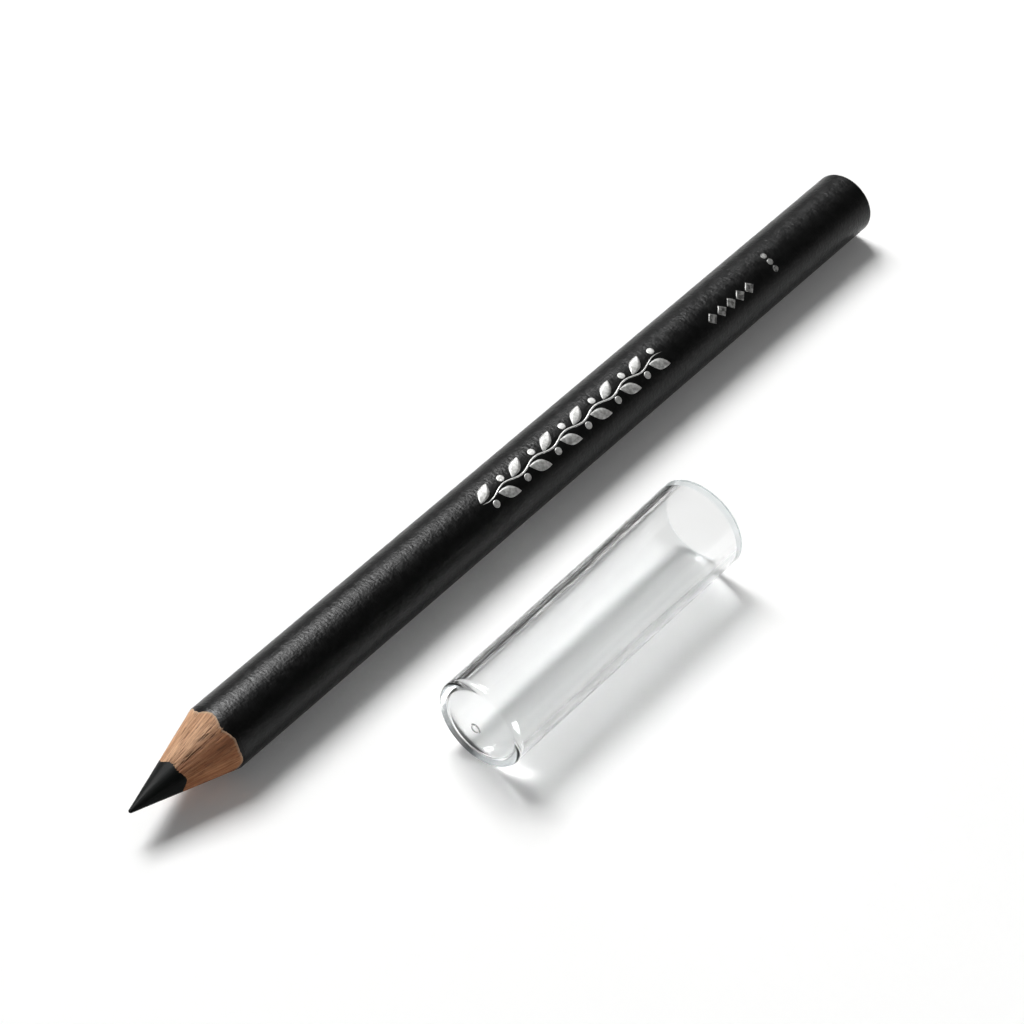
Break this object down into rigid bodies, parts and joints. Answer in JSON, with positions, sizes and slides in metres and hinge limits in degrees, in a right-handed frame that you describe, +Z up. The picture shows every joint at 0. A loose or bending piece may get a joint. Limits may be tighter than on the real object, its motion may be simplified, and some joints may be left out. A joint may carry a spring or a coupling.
{
  "type": "eyebrow pencil",
  "caption": "Sharpened wood-cased cosmetic pencil in black lacquer, with its clear slip-on cap taken off and lying beside it.",
  "frame": {"origin": "on the table, below the middle of the box round the pencil and the cap beside it", "axes": "+X along the pencil from its tip to its back end, parallel to the cap's side; +Y from the cap towards the pencil; +Z up"},
  "size_m": [0.1236, 0.0298, 0.0111],
  "materials": {
    "core": "matt black cosmetic wax with faint knife facets",
    "wood": "raw cedar-like wood, straight grain, cut by a sharpener",
    "lacquer": "satin black lacquer with a fine mottled grain",
    "clear_plastic": "clear moulded plastic, polished"
  },
  "bodies": {
    "root": {"cosmetic_core": "core", "left_wood_half": "wood", "right_wood_half": "wood", "lacquer_coat": "lacquer", "cap": "clear_plastic"}
  },
  "joints": []
}
